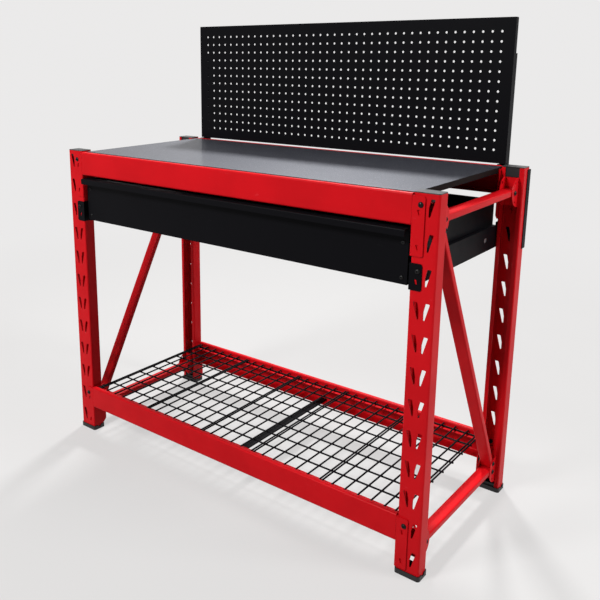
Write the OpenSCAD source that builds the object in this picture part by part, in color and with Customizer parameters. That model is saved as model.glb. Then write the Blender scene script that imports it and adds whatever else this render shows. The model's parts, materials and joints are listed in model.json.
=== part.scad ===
// Bolted steel workbench: four slotted posts, stepped beams, a worktop,
// a wire shelf, one full-width drawer on telescopic slides and a
// perforated tool board on two uprights. Millimetres, +Z up.
// +X is the user's right, -Y is the side the drawer opens to.

/* [Bench] */
// Width over the posts
bench_w = 1219.2; // [900:0.1:1800]
// Depth over the posts
bench_d = 520; // [440:1:800]
// Height of the lower beams' top edge, before it drops onto the next slot
shelf_h = 150; // [150:1:300]

/* [Posts] */
// Length of a post
post_l = 914.4; // [860:0.1:1100]
// Width of a post's face
post_w = 60; // [56:1:80]
// Depth of a post
post_depth = 38; // [34:1:50]
// Sheet thickness of a post
post_t = 2; // [1.5:0.1:3]
// Outer corner radius of a post
post_r = 4; // [3.2:0.1:6]
// Distance from one slot to the next
slot_pitch = 76.2; // [60:0.1:90]
// Height of a slot
slot_h = 39.5; // [36:0.5:44]
// Post metal left above the first slot
slot_margin = 10.9; // [9.5:0.1:14]
// Thickness of a post cap's plate
cap_t = 2; // [1:0.1:4]
// Thickness of a foot under the post
foot_t = 3; // [2:0.1:8]
// Height of a foot's rim
foot_h = 12.5; // [9:0.5:14]
// Wall of a foot's rim
foot_wall = 2.4; // [1.5:0.1:4]

/* [Beams] */
// Height of a beam
beam_h = 70; // [60:1:85]
// Depth of a beam
beam_depth = 38; // [34:1:45]
// Width of a beam's top
beam_top_w = 15; // [12:0.5:20]
// Drop from a beam's top to its ledge
beam_step = 15; // [12:0.5:20]
// Sheet thickness of a beam
beam_t = 2; // [1.5:0.1:3]
// Rounding of a beam's edges
beam_r = 5; // [3.5:0.1:6]
// Distance from the post's top to the upper beams' top
beam_drop = 2; // [0:0.1:6]
// Thickness of an end connector
conn_t = 3; // [2:0.1:4]
// Height of an end connector
conn_h = 132; // [124:1:136]
// Depth of an end connector's side leg
conn_leg = 50; // [46:1:60]
// Distance from a beam's top to its connector's top
conn_drop = 4; // [3:0.1:6]
// Length of a connector's hook behind its plate
hook_l = 6; // [4:0.1:7]

/* [Worktop] */
// Thickness of the worktop
top_t = 15; // [12:0.5:30]
// Gap between the worktop and the beams' steps
top_gap = 4; // [1:0.1:6]

/* [End frames] */
// Width of a brace tube
tube_w = 32; // [26:0.5:34]
// Height of a brace tube
tube_h = 17; // [14:0.5:18]
// Wall of a brace tube
tube_t = 1.5; // [1:0.1:2.5]
// Corner radius of a brace tube
tube_r = 4; // [3:0.1:6]
// Distance from the post's top to the upper brace's middle
brace_drop = 62; // [50:1:90]
// Height of the lower brace's middle above the floor
brace_low = 70.5; // [56:0.5:110]
// Sheet thickness of a brace fork
fork_t = 1.8; // [1.2:0.1:2]
// Reach of a brace fork past the post
fork_r = 38; // [34:0.5:42]
// Distance from the post to a brace bolt
fork_bolt = 20; // [18:0.5:22]
// Distance from one hole of a fork to the next
fork_pitch = 24; // [22:0.5:26]

/* [Shelf] */
// Diameter of a shelf wire
wire_d = 4.8; // [3:0.1:5]
// Spacing wanted between the wires that run front to back
wire_step = 37.35; // [25:0.05:60]
// Spacing wanted between the wires that run along the shelf
long_step = 59.5; // [40:0.5:90]
// Gap between the two wires of a doubled pair
pair_gap = 3.2; // [3:0.1:8]
// Width of the bar under the shelf
tie_w = 25; // [15:1:40]
// Height of the bar under the shelf
tie_h = 5; // [4:0.5:12]

/* [Drawer] */
// Gap between the drawer's front and the beam above it
drawer_gap = 8.4; // [3:0.1:12]
// Distance from the post's face back to the drawer's front
drawer_inset = 8; // [4:0.5:12]
// Sheet thickness of the drawer
sheet_t = 1.2; // [0.8:0.1:1.6]
// Overlap of the drawer's front over the sides
front_over = 4.1; // [2:0.1:6]
// Distance from the drawer's front up to the handle's nose
pull_reach = 23; // [20:0.5:30]
// Height of the handle's nose
pull_h = 16; // [12:0.5:20]
// Distance from the drawer's back to the rear posts' faces
drawer_back_gap = 29; // [20:0.5:60]

/* [Slides and rails] */
// Space between a drawer side and its rail
slide_w = 12.7; // [12:0.1:14]
// Height of a slide
slide_h = 45; // [40:0.5:48]
// Distance from a slide's rear end to the drawer's back
slide_short = 33; // [20:1:120]
// Running clearance between the slide members
slide_gap = 0.6; // [0.4:0.05:0.8]
// Height of a support rail
rail_h = 60.5; // [58:0.5:66]
// Thickness of a support rail
rail_t = 2; // [1.5:0.1:2.5]
// Width of a support rail's ledges
rail_flange = 10; // [8:0.1:12]

/* [Tool board] */
// Height of the tool board
board_h = 375; // [200:1:600]
// Depth of the tool board's edges
board_depth = 15; // [12:0.5:20]
// Sheet thickness of the tool board
board_t = 1.2; // [0.8:0.1:2]
// Distance from one hole to the next
hole_pitch = 25.4; // [20:0.1:50]
// Diameter of a hole
hole_d = 6.35; // [3:0.05:9]
// Width of an upright
upright_w = 21.5; // [18:0.5:30]
// Depth of an upright behind the board
upright_depth = 9; // [7:0.5:14]
// Height of the uprights above the board's lower edge
upright_h = 285; // [150:1:360]
// Sheet thickness of an upright
upright_t = 2; // [1.5:0.1:3]

/* [Hidden] */

// Smoothness of round edges
fine = 48;
// Smoothness of wires and bolts
small = 32;
// Depth of cuts past a face
cut = 1;

// Clearance of a bolt in its hole, all round
hole_clear = 0.3;
// Clearance between a post and what sits round or in it
post_clear = 0.3;
// Clearance between a fork and the post's opening, each side
fork_clear = 0.25;
// Clearance between a tube and its fork, each side
tube_clear = 0.2;

// Posts
post_top = foot_t + post_l;
fork_w = tube_w + 2 * tube_clear + 2 * fork_t;
post_opening = fork_w + 2 * fork_clear;
lip_w = (post_w - post_opening) / 2;
post_cx = bench_w / 2 - post_w / 2;
inner_x = bench_w / 2 - post_w;
lip_y = post_depth;
slot_end_margin = 15;
slot_n = floor((post_l - slot_margin - slot_h - slot_end_margin) / slot_pitch) + 1;

// Slots lean outwards: the foot of each one is narrow and near the middle
slot_foot_in = 5.5;
slot_foot_w = 4;
slot_top_in = 9.5;
slot_top_w = 10;
slot_knee = slot_h / 2;
slot_chamfer = 1.5;
bolt_from_mid = 12;

// Feet
foot_notch_w = 12;
foot_notch_h = 5;
foot_plug_max = 21;
foot_plug_air = 2;
foot_plug_h = min(foot_plug_max, brace_low - fork_r - foot_plug_air);

// Bolts
bolt_d = 6;
bolt_head_d = 13;
bolt_head_h = 4.5;
bolt_drive_d = 5;
bolt_drive_h = 2;
nut_af = 10;
nut_h = 5;
bolt_end = 1;
bolt_drop = 22.9;

// Caps: the skirt ends above the beam bolt's nut
cap_wall = 2;
cap_air = 1;
cap_skirt = floor(bolt_drop - nut_af / 2 / cos(30) - cap_air);

// Beams and connectors
beam_l = bench_w - 2 * post_w - 2 * conn_t;
beam_top = post_top - beam_drop;
level_slots = floor((beam_top - shelf_h) / slot_pitch);
lower_top = beam_top - level_slots * slot_pitch;
ledge_h = lower_top - beam_step;
conn_mid_gap = 2;
conn_face = post_w / 2 - conn_mid_gap;
conn_r = 3;
conn_corner = 5;
conn_chamfer = 10;
hook_w = 3;
hook_in = 6.1;
hook_z0 = 2.3;
hook_z1 = 12;
hook_cut_h = 11.5;
hook_cut_top_in = 10;
hook_cut_top_w = 6;
hook_cut_foot_in = 13.5;
hook_cut_foot_w = 4;
nut_seat = max(hook_l, nut_h + bolt_end);

// Worktop
top_side_gap = 0.6;
top_w = beam_l - 2 * top_side_gap;
top_y0 = beam_top_w + top_gap - conn_t;
top_d = bench_d - 2 * top_y0;
top_z = beam_top - beam_step;
top_edge = 1;

// End frames
brace_hi = post_top - brace_drop;
strut_end = 6;
diag_end = 18;
diag_clear = 1.5;
fork_play = 0.5;
fork_back = post_depth - post_t - nut_seat - fork_play;
fork_web_in = 1.5;
fork_web_h = fork_r - fork_web_in;
cap_tongue = brace_drop - fork_web_h - cap_air;
fork_eye_d = bolt_d + 2 * hole_clear;
brace_y0 = post_depth + fork_bolt;
brace_y1 = bench_d - brace_y0;
diag_z0 = brace_low + fork_pitch;
diag_z1 = brace_hi - fork_pitch;
diag_run = brace_y1 - brace_y0;
diag_rise = diag_z1 - diag_z0;
diag_l = sqrt(diag_run * diag_run + diag_rise * diag_rise);
diag_angle = atan2(diag_rise, diag_run);

// Shelf
deck_side_gap = 3;
deck_w = beam_l - 2 * deck_side_gap;
deck_front_gap = 5;
deck_y0 = beam_top_w - conn_t + deck_front_gap;
deck_rear_shift = 2;
deck_y1 = bench_d - deck_y0 + deck_rear_shift;
wire_overhang_front = 3.5;
wire_overhang_rear = 8.5;
long_y0 = deck_y0 + wire_overhang_front;
long_y1 = deck_y1 - wire_overhang_rear;
long_n = round((long_y1 - long_y0) / long_step);
long_pitch = (long_y1 - long_y0) / long_n;
cross_n = round((deck_w - wire_d) / wire_step);
cross_pitch = (deck_w - wire_d) / cross_n;
weld_gap = 0.05;
long_z = ledge_h + wire_d / 2;
cross_z = long_z + wire_d + weld_gap;
pair_bays = 5;
tie_t = 1.5;
tie_play = 0.2;
tie_gap = beam_r - beam_t + tie_play;

// Rails: each hangs on the first slot that leaves it clear of the connector above
rail_below = 11.6;
rail_rear_rise = 8;
rail_air = 1;
conn_foot_z = beam_top - conn_drop - conn_h;
slot_one_z = post_top - slot_margin - slot_h;
rail_slot = ceil((slot_one_z - rail_below + rail_h + rail_rear_rise + rail_air - conn_foot_z)
  / slot_pitch);
slot_foot_z = slot_one_z - rail_slot * slot_pitch;
rail_z0 = slot_foot_z - rail_below;
rail_z1 = rail_z0 + rail_h;
rail_x = inner_x - rail_t;
rail_tip_x = inner_x - rail_flange;
rail_rear = 16;
rail_y1 = bench_d - rail_rear;
front_return = 8;
front_air = 2;
rail_shelf_y0 = drawer_inset + front_return + front_air;
rail_rear_l = 26;
rail_bolt_up = 32.4;
rail_bolt_z = slot_foot_z + rail_bolt_up;
rail_hook_z = slot_foot_z + hook_z0;
rail_window_l = 18;
rail_window_h = 12;
rail_window_y = 100;
rail_screw_d = 5;
rail_screw_in = 10;
rail_screw_y = bench_d - post_depth + rail_screw_in;
rail_screw_drop = 12;
screw_head_d = 10;
screw_head_h = 2.6;

// Slides
slide_t = 1.2;
slide_z = rail_z0 + rail_h / 2;
slide_x = rail_x;
slide_y0 = rail_shelf_y0;
box_back_y = bench_d - drawer_back_gap;
slide_l = box_back_y - slide_short - slide_y0;
slide_mid_h = slide_h - 2 * slide_t - 2 * slide_gap;
slide_in_h = slide_mid_h - 2 * slide_t - 2 * slide_gap;
slide_mid_w = slide_w - 2 * slide_t - 2 * slide_gap;
slide_lip = 3;
slide_r = 2.2;

// Drawer
side_x = rail_x - slide_w;
front_w = 2 * (side_x + front_over);
front_rise = 5;
front_z0 = rail_z0 + front_rise;
front_z1 = beam_top - beam_h - drawer_gap;
front_y = drawer_inset;
front_back_y = front_y + sheet_t;
box_air = 0.3;
box_z0 = front_z0 + sheet_t + box_air;
box_top_air = 0.8;
box_z1 = front_z1 - sheet_t - box_top_air;
box_hem = 6;
box_flange = 20;
box_foot = 12;
pull_t = 1.5;
pull_r = 3;
pull_y0 = front_y - pull_reach;
drawer_bolt_in = 9.6;
drawer_bolt_lo = 15.5;
drawer_bolt_span = 79.5;
drawer_bolt_d = 5;
drawer_head_d = 10.5;
drawer_head_h = 3;

// Tool board
board_edge_in = 6.6;
board_w = bench_w - 2 * post_w - 2 * board_edge_in;
board_rise = 2.6;
board_z0 = beam_top + board_rise;
board_z1 = board_z0 + board_h;
board_margin = 34;
board_lip = 12;
board_r = 2.4;
col_n = floor((board_w - 2 * board_margin) / hole_pitch);
row_n = floor((board_h - 2 * board_margin) / hole_pitch);
plate_y = bench_d + conn_t;
board_stand = 5.4;
board_y0 = plate_y + board_stand;
board_y1 = board_y0 + board_depth;
upright_y1 = board_y1 + upright_depth;
upright_x1 = inner_x - board_edge_in;
upright_x0 = upright_x1 - upright_w;
upright_notch = 2;
upright_tail = 95;
channel_z0 = board_z0 - upright_tail;
plate_rise = 0.5;
plate_drop = 3.4;
plate_z0 = rail_z0 + plate_rise;
plate_z1 = beam_top - plate_drop;
plate_wrap = 14;
board_screw_d = 4;
board_screw_head = 8;
board_screw_inset = 40;
board_screw_n = 3;
board_screw_web = 0.2;
board_screw_sink = upright_t - board_screw_web;

// The origin is on the floor, at the middle of the bench's outer box
mid_y = (pull_y0 + upright_y1) / 2;

module placed() {
  translate([0, -mid_y, 0]) children();
}

// Copies a left-hand piece to the right
module mirrored() {
  mirror([1, 0, 0]) children();
}

// Turns a piece made for the front round to the rear
module at_rear() {
  translate([0, bench_d, 0]) rotate([0, 0, 180]) children();
}

// ---------- profiles ----------

// Rectangle with rounded corners, its lower left corner at the origin
module rounded(w, h, r) {
  translate([r, 0]) square([w - 2 * r, h]);
  translate([0, r]) square([w, h - 2 * r]);
  for (x = [r, w - r], y = [r, h - r]) translate([x, y]) circle(r = r, $fn = fine);
}

// Lipped channel of a post, its face along the X axis
module post_profile() {
  difference() {
    rounded(post_w, post_depth, post_r);
    translate([post_t, post_t])
      rounded(post_w - 2 * post_t, post_depth - 2 * post_t, post_r - post_t);
    translate([lip_w, post_depth - post_t - cut])
      square([post_opening, post_t + 2 * cut]);
  }
}

// Outer half of a slot pair, upright, its foot at the origin's level
module slot_outline() {
  foot_r = slot_foot_w / 2;
  translate([slot_foot_in + foot_r, foot_r]) circle(r = foot_r, $fn = small);
  polygon([
    [slot_foot_in, foot_r],
    [slot_foot_in + slot_foot_w, foot_r],
    [slot_top_in + slot_top_w, slot_h - slot_chamfer],
    [slot_top_in + slot_top_w - slot_chamfer, slot_h],
    [slot_top_in + slot_chamfer, slot_h],
    [slot_top_in, slot_h - slot_chamfer],
    [slot_foot_in, slot_knee]
  ]);
}

// Stepped box of a beam, drawn in by a given amount, its top at zero
module beam_box(inset) {
  r = beam_r - inset;
  translate([inset, inset - beam_h])
    rounded(beam_top_w - 2 * inset, beam_h - 2 * inset, r);
  translate([inset, inset - beam_h])
    rounded(beam_depth + beam_r, beam_h - beam_step - 2 * inset, r);
}

// Sheet section of a beam, open towards the bench's middle
module beam_profile() {
  intersection() {
    difference() {
      beam_box(0);
      beam_box(beam_t);
    }
    translate([0, -beam_h]) square([beam_depth, beam_h]);
  }
}

// Angle section of a connector: a leg on the post's face and one beside it
module conn_profile() {
  intersection() {
    difference() {
      translate([-conn_face - conn_r, 0])
        rounded(conn_face + conn_r + conn_t, conn_leg + conn_r, conn_r);
      translate([-conn_face - 2 * conn_r, conn_t])
        square([conn_face + 2 * conn_r, conn_leg + conn_r]);
    }
    translate([-conn_face, 0]) square([conn_face + conn_t, conn_leg]);
  }
}

// Rectangular tube
module tube_profile() {
  difference() {
    rounded(tube_w, tube_h, tube_r);
    translate([tube_t, tube_t])
      rounded(tube_w - 2 * tube_t, tube_h - 2 * tube_t, tube_r - tube_t);
  }
}

// ---------- fasteners ----------

// Domed bolt with its nut, head at z = 0 and the shank down to the grip
module bolt(grip, d, head_d, head_h) {
  difference() {
    intersection() {
      translate([0, 0, head_h - dome_r(head_d, head_h)])
        sphere(r = dome_r(head_d, head_h), $fn = fine);
      cylinder(d = head_d, h = head_h + cut, $fn = fine);
    }
    translate([0, 0, head_h - bolt_drive_h])
      cylinder(d = bolt_drive_d, h = bolt_drive_h + cut, $fn = 6);
  }
  translate([0, 0, -grip - nut_h - bolt_end])
    cylinder(d = d, h = grip + nut_h + bolt_end + head_h / 4, $fn = small);
  translate([0, 0, -grip - nut_h])
    cylinder(d = nut_af / cos(30), h = nut_h, $fn = 6);
}

// Radius of the sphere that gives a dome of a width and a height
function dome_r(w, h) = (w * w / 4 + h * h) / (2 * h);

// ---------- posts ----------

module post_part() {
  difference() {
    translate([-post_w / 2, 0, foot_t])
      linear_extrude(height = post_l) post_profile();
    for (i = [0 : slot_n - 1])
      translate([0, post_t + cut, post_top - slot_margin - slot_h - i * slot_pitch])
        rotate([90, 0, 0])
          linear_extrude(height = post_t + 2 * cut) {
            slot_outline();
            mirror([1, 0]) slot_outline();
          }
  }
}

// Rear post: the same with a screw hole for the drawer's rail
module rear_post_part(side) {
  difference() {
    at_rear() translate([-side * post_cx, 0, 0]) post_part();
    rail_screw_axis(side)
      translate([0, 0, -cut])
        cylinder(d = rail_screw_d + 2 * hole_clear, h = post_t + 2 * cut, $fn = small);
  }
}

module foot_part() {
  r = post_r + post_clear;
  w = post_w + 2 * post_clear;
  d = post_depth + 2 * post_clear;
  difference() {
    union() {
      linear_extrude(height = foot_t)
        translate([-w / 2 - foot_wall, -post_clear - foot_wall])
          rounded(w + 2 * foot_wall, d + 2 * foot_wall, r + foot_wall);
      linear_extrude(height = foot_h) difference() {
        translate([-w / 2 - foot_wall, -post_clear - foot_wall])
          rounded(w + 2 * foot_wall, d + 2 * foot_wall, r + foot_wall);
        translate([-w / 2, -post_clear]) rounded(w, d, r);
      }
    }
    for (side = [-1, 1])
      translate([side * (w / 2 + foot_wall), post_depth / 2, foot_h])
        cube([4 * foot_wall, foot_notch_w, 2 * foot_notch_h], center = true);
  }
  plug_x = post_w / 2 - post_t - post_clear;
  translate([-plug_x, post_t + post_clear, 0]) linear_extrude(height = foot_plug_h)
    difference() {
      rounded(2 * plug_x, post_depth - 2 * post_t - 2 * post_clear, post_r - post_t);
      translate([cap_wall, cap_wall])
        rounded(2 * plug_x - 2 * cap_wall,
          post_depth - 2 * post_t - 2 * post_clear - 2 * cap_wall, 1);
    }
}

module cap_part() {
  plug_x = post_w / 2 - post_t - post_clear;
  translate([0, 0, post_top]) {
    translate([-post_w / 2, 0, 0])
      linear_extrude(height = cap_t) rounded(post_w, post_depth, post_r);
    translate([-plug_x, post_t + post_clear, -cap_skirt])
      linear_extrude(height = cap_skirt + cap_t / 2) difference() {
        rounded(2 * plug_x, post_depth - 2 * post_t - 2 * post_clear, post_r - post_t);
        translate([cap_wall, cap_wall])
          rounded(2 * plug_x - 2 * cap_wall,
            post_depth - 2 * post_t - 2 * post_clear - 2 * cap_wall, 1);
      }
    // Tongue behind the post's opening, down to the fork
    translate([-plug_x + post_r, post_depth - post_t - post_clear - cap_wall, -cap_tongue])
      cube([2 * (plug_x - post_r), cap_wall, cap_tongue]);
  }
}

// ---------- beams ----------

// Front beam at the level of its top
module beam_part(level) {
  translate([-beam_l / 2, -conn_t, level])
    rotate([90, 0, 90]) linear_extrude(height = beam_l) beam_profile();
}

// Slanted opening that a hook was bent out of, in a sheet on the left post's face
module hook_cut(t) {
  translate([-inner_x, cut, hook_z0]) rotate([90, 0, 0])
    linear_extrude(height = t + 2 * cut) polygon([
      [-hook_cut_foot_in, 0],
      [-hook_cut_foot_in - hook_cut_foot_w, 0],
      [-hook_cut_top_in - hook_cut_top_w, hook_cut_h],
      [-hook_cut_top_in, hook_cut_h]
    ]);
}

// Left front connector of the beam whose top is at the level
module connector_part(level) {
  z0 = level - conn_drop - conn_h;
  foot_z = level + beam_drop - slot_margin - slot_h;
  hook_x = -post_w / 2;
  difference() {
    union() {
      intersection() {
        translate([-inner_x, -conn_t, z0])
          linear_extrude(height = conn_h) conn_profile();
        translate([-inner_x - conn_face, conn_leg, z0]) rotate([90, 0, 0])
          linear_extrude(height = conn_leg + conn_t + cut)
            rounded(conn_face + conn_t + conn_corner, conn_h, conn_corner);
      }
      for (i = [0, 1])
        translate([-inner_x + hook_x + hook_in, -cut, foot_z - i * slot_pitch + hook_z0])
          cube([hook_w, hook_l + post_t + cut, hook_z1 - hook_z0]);
    }
    for (i = [0, 1]) translate([0, 0, foot_z - i * slot_pitch]) hook_cut(conn_t);
    translate([-inner_x - post_w / 2 + bolt_from_mid, 0, level - bolt_drop])
      rotate([90, 0, 0])
        cylinder(d = bolt_d + 2 * hole_clear, h = 4 * conn_t, center = true, $fn = small);
    translate([-inner_x, conn_leg - conn_t, z0])
      rotate([45, 0, 0])
        cube([4 * conn_t, conn_chamfer * sqrt(2), conn_chamfer * sqrt(2)], center = true);
  }
}

// Left front bolt of a connector, over any extra plate under its head
module beam_bolt(level, extra) {
  translate([-inner_x - post_w / 2 + bolt_from_mid, -conn_t - extra, level - bolt_drop])
    rotate([90, 0, 0])
      bolt(conn_t + post_t + extra, bolt_d, bolt_head_d, bolt_head_h);
}

// ---------- end frames ----------

// Tube along +Y from the origin
module tube_y(l) {
  translate([-tube_w / 2, l, -tube_h / 2])
    rotate([90, 0, 0]) linear_extrude(height = l) tube_profile();
}

// Hole across a tube or a fork
module cross_hole() {
  rotate([0, 90, 0])
    cylinder(d = fork_eye_d, h = 2 * tube_w, center = true, $fn = small);
}

// Level brace of the left end frame
module strut_part(z) {
  y0 = post_depth + strut_end;
  l = bench_d - 2 * y0;
  difference() {
    translate([-post_cx, y0, z]) tube_y(l);
    for (y = [brace_y0, brace_y1]) translate([-post_cx, y, z]) cross_hole();
  }
}

// Diagonal of the right end frame: high at the front, low at the rear
module diagonal_part() {
  difference() {
    translate([post_cx, brace_y0, diag_z1]) rotate([-diag_angle, 0, 0])
      translate([0, -diag_end, 0]) tube_y(diag_l + 2 * diag_end);
    translate([post_cx - tube_w, 0, brace_hi - tube_h / 2 - diag_clear])
      cube([2 * tube_w, bench_d, tube_h]);
    translate([post_cx - tube_w, 0, brace_low + tube_h / 2 + diag_clear - tube_h])
      cube([2 * tube_w, bench_d, tube_h]);
    translate([post_cx, brace_y0, diag_z1]) cross_hole();
    translate([post_cx, brace_y1, diag_z0]) cross_hole();
  }
}

// Side view of a fork, the post's lips along the vertical axis
module fork_ear() {
  difference() {
    union() {
      intersection() {
        circle(r = fork_r, $fn = fine);
        translate([0, -fork_r]) square([fork_r, 2 * fork_r]);
      }
      intersection() {
        circle(r = fork_back, $fn = fine);
        translate([-fork_back, -fork_back]) square([fork_back + cut, 2 * fork_back]);
      }
      translate([-fork_web_in - fork_t, -fork_web_h])
        square([fork_web_in + fork_t + cut, 2 * fork_web_h]);
    }
    for (i = [-1 : 1]) translate([fork_bolt, i * fork_pitch]) circle(d = fork_eye_d, $fn = small);
  }
}

// Flat web of a fork, just inside the post's lips
module fork_web() {
  translate([-fork_web_in - fork_t, -fork_web_h]) square([fork_t, 2 * fork_web_h]);
}

// Fork in the opening of a left front post
module fork_part(z) {
  translate([-post_cx - fork_w / 2, post_depth, z]) rotate([90, 0, 90]) {
    linear_extrude(height = fork_t) fork_ear();
    translate([0, 0, fork_w - fork_t]) linear_extrude(height = fork_t) fork_ear();
    linear_extrude(height = fork_w) fork_web();
  }
}

module forks_left() {
  for (z = [brace_low, brace_hi]) {
    fork_part(z);
    translate([0, bench_d, 0]) mirror([0, 1, 0]) fork_part(z);
  }
}

// Bolt through a fork of the left end frame, its head outside
module brace_bolt(y, z) {
  translate([-post_cx - fork_w / 2, y, z]) rotate([0, -90, 0])
    bolt(fork_w, bolt_d, bolt_head_d, bolt_head_h);
}

module brace_bolts_of(diag_front_z, diag_rear_z) {
  for (y = [brace_y0, brace_y1], z = [brace_low, brace_hi]) brace_bolt(y, z);
  brace_bolt(brace_y0, diag_front_z);
  brace_bolt(brace_y1, diag_rear_z);
}

// ---------- worktop and shelf ----------

module worktop_part() {
  translate([-top_w / 2, top_y0, top_z])
    rotate([90, 0, 90]) linear_extrude(height = top_w) rounded_top(top_d, top_t, top_edge);
}

// Board section with its two upper edges rounded
module rounded_top(w, h, r) {
  square([w, h - r]);
  translate([r, 0]) square([w - 2 * r, h]);
  for (x = [r, w - r]) translate([x, h - r]) circle(r = r, $fn = small);
}

module long_wires() {
  for (i = [0 : long_n])
    translate([-deck_w / 2, long_y0 + i * long_pitch, long_z])
      rotate([0, 90, 0]) cylinder(d = wire_d, h = deck_w, $fn = small);
}

module cross_wire(x) {
  translate([x, deck_y0, cross_z])
    rotate([-90, 0, 0]) cylinder(d = wire_d, h = deck_y1 - deck_y0, $fn = small);
}

// Single wires, with doubled ones at the ends and at even bays between
module cross_wires() {
  x0 = -(deck_w - wire_d) / 2;
  for (i = [0 : cross_n]) cross_wire(x0 + i * cross_pitch);
  for (b = [0 : pair_bays]) {
    i = round(b * cross_n / pair_bays);
    side = b == pair_bays ? -1 : 1;
    cross_wire(x0 + i * cross_pitch + side * (wire_d + pair_gap));
  }
}

// Shallow channel that ties the lower beams' bottom flanges
module tie_bar() {
  y0 = beam_t - conn_t + tie_gap;
  translate([0, y0, lower_top - beam_h + beam_t]) rotate([-90, 0, 0])
    linear_extrude(height = bench_d - 2 * y0) difference() {
      translate([-tie_w / 2, -tie_h]) square([tie_w, tie_h]);
      translate([-tie_w / 2 + tie_t, -tie_h + tie_t]) square([tie_w - 2 * tie_t, tie_h]);
    }
}

// ---------- rails and slides ----------

// Axis of the rear rail screw, from the rail into the post
module rail_screw_axis(side) {
  translate([side * inner_x, rail_screw_y, rail_z1 - rail_screw_drop])
    rotate([0, side * 90, 0]) children();
}

// Left rail: a channel beside the posts with a tab on the front post's face
module rail_part() {
  difference() {
    union() {
      // Web along the posts
      translate([-inner_x, -rail_t, rail_z0]) cube([rail_t, rail_y1 + rail_t, rail_h]);
      // Taller end at the rear post
      translate([-inner_x, rail_y1 - rail_rear_l, rail_z0])
        cube([rail_t, rail_rear_l, rail_h + rail_rear_rise]);
      // Upper and lower ledges
      for (z = [rail_z0, rail_z1 - rail_t])
        translate([-inner_x, rail_shelf_y0, z])
          cube([rail_flange, rail_y1 - rail_rear_l - rail_shelf_y0, rail_t]);
      // Tab on the post's face
      translate([-inner_x - conn_face, 0, rail_z0]) rotate([90, 0, 0])
        linear_extrude(height = rail_t) intersection() {
          rounded(conn_face + rail_t + conn_corner, rail_h, conn_corner);
          square([conn_face + rail_t, rail_h]);
        }
      // Hook into the post's slot
      translate([-inner_x - post_w / 2 + hook_in, -cut, rail_hook_z])
        cube([hook_w, hook_l + post_t + cut, hook_z1 - hook_z0]);
    }
    // Opening the hook was bent out of
    translate([0, 0, slot_foot_z]) hook_cut(rail_t);
    // Bolt hole in the tab
    translate([-inner_x - post_w / 2 + bolt_from_mid, 0, rail_bolt_z])
      rotate([90, 0, 0])
        cylinder(d = bolt_d + 2 * hole_clear, h = 4 * rail_t, center = true, $fn = small);
    // Window in the web, behind the slide
    translate([-inner_x - cut, rail_y1 - rail_window_y, rail_z0 + (rail_h - rail_window_h) / 2])
      rotate([90, 0, 90]) linear_extrude(height = rail_t + 2 * cut)
        rounded(rail_window_l, rail_window_h, rail_window_h / 4);
    // Screw hole at the rear post
    rail_screw_axis(-1)
      cylinder(d = rail_screw_d + 2 * hole_clear, h = 4 * rail_t, center = true, $fn = small);
  }
}

// Bolt and screw of the left rail
module rail_fasteners() {
  translate([-inner_x - post_w / 2 + bolt_from_mid, -rail_t, rail_bolt_z])
    rotate([90, 0, 0]) bolt(rail_t + post_t, bolt_d, bolt_head_d, bolt_head_h);
  translate([rail_t, 0, 0]) rail_screw_axis(-1) mirror([0, 0, 1])
    bolt(rail_t + post_t, rail_screw_d, screw_head_d, screw_head_h);
}

// Channel of a slide, its web at x = 0 and open towards +X
module slide_channel(h, w) {
  difference() {
    translate([0, -h / 2]) rounded(w + slide_r, h, slide_r);
    translate([slide_t, -h / 2 + slide_t])
      rounded(w + slide_r, h - 2 * slide_t, slide_r - slide_t);
    translate([w, -h]) square([w, 2 * h]);
  }
}

// Left slide members: outer on the rail, middle between, inner on the drawer
module slide_outer_part() {
  translate([-slide_x, slide_y0 + slide_l, slide_z]) rotate([90, 0, 0])
    linear_extrude(height = slide_l) slide_channel(slide_h, slide_w - slide_lip);
}

module slide_middle_part() {
  translate([-slide_x + slide_t + slide_gap, slide_y0 + slide_l, slide_z])
    rotate([90, 0, 0])
      linear_extrude(height = slide_l) slide_channel(slide_mid_h, slide_mid_w);
}

module slide_inner_part() {
  translate([-side_x, slide_y0 + slide_l, slide_z]) rotate([90, 0, 0])
    linear_extrude(height = slide_l)
      mirror([1, 0]) slide_channel(slide_in_h, slide_w - 2 * slide_t - 2 * slide_gap - slide_lip);
}

// ---------- drawer ----------

module drawer_bolt_at() {
  for (i = [0, 1])
    translate([-front_w / 2 + front_over + drawer_bolt_in, front_y,
      front_z0 + drawer_bolt_lo + i * drawer_bolt_span])
      rotate([90, 0, 0]) children();
}

// Front: a shallow tray of sheet, its edges turned back
module drawer_front_part() {
  difference() {
    translate([-front_w / 2, front_y, front_z0])
      cube([front_w, front_return, front_z1 - front_z0]);
    translate([-front_w / 2 + sheet_t, front_back_y, front_z0 + sheet_t])
      cube([front_w - 2 * sheet_t, front_return, front_z1 - front_z0 - 2 * sheet_t]);
    for (m = [0, 1]) mirror([m, 0, 0]) drawer_bolt_at()
      cylinder(d = drawer_bolt_d + 2 * hole_clear, h = 4 * sheet_t, center = true, $fn = small);
  }
}

// Handle: a bent strip along the front's upper edge
module pull_part() {
  translate([-front_w / 2, front_y, front_z1]) rotate([90, 0, 90])
    linear_extrude(height = front_w) intersection() {
      difference() {
        translate([-pull_reach, -pull_h - pull_r])
          rounded(2 * pull_reach, pull_h + pull_r, pull_r);
        translate([-pull_reach + pull_t, -pull_h - pull_r - cut])
          rounded(2 * pull_reach, pull_h + pull_r + cut - pull_t, pull_r - pull_t);
      }
      translate([-pull_reach, -pull_h]) square([pull_reach, pull_h]);
    }
}

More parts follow.
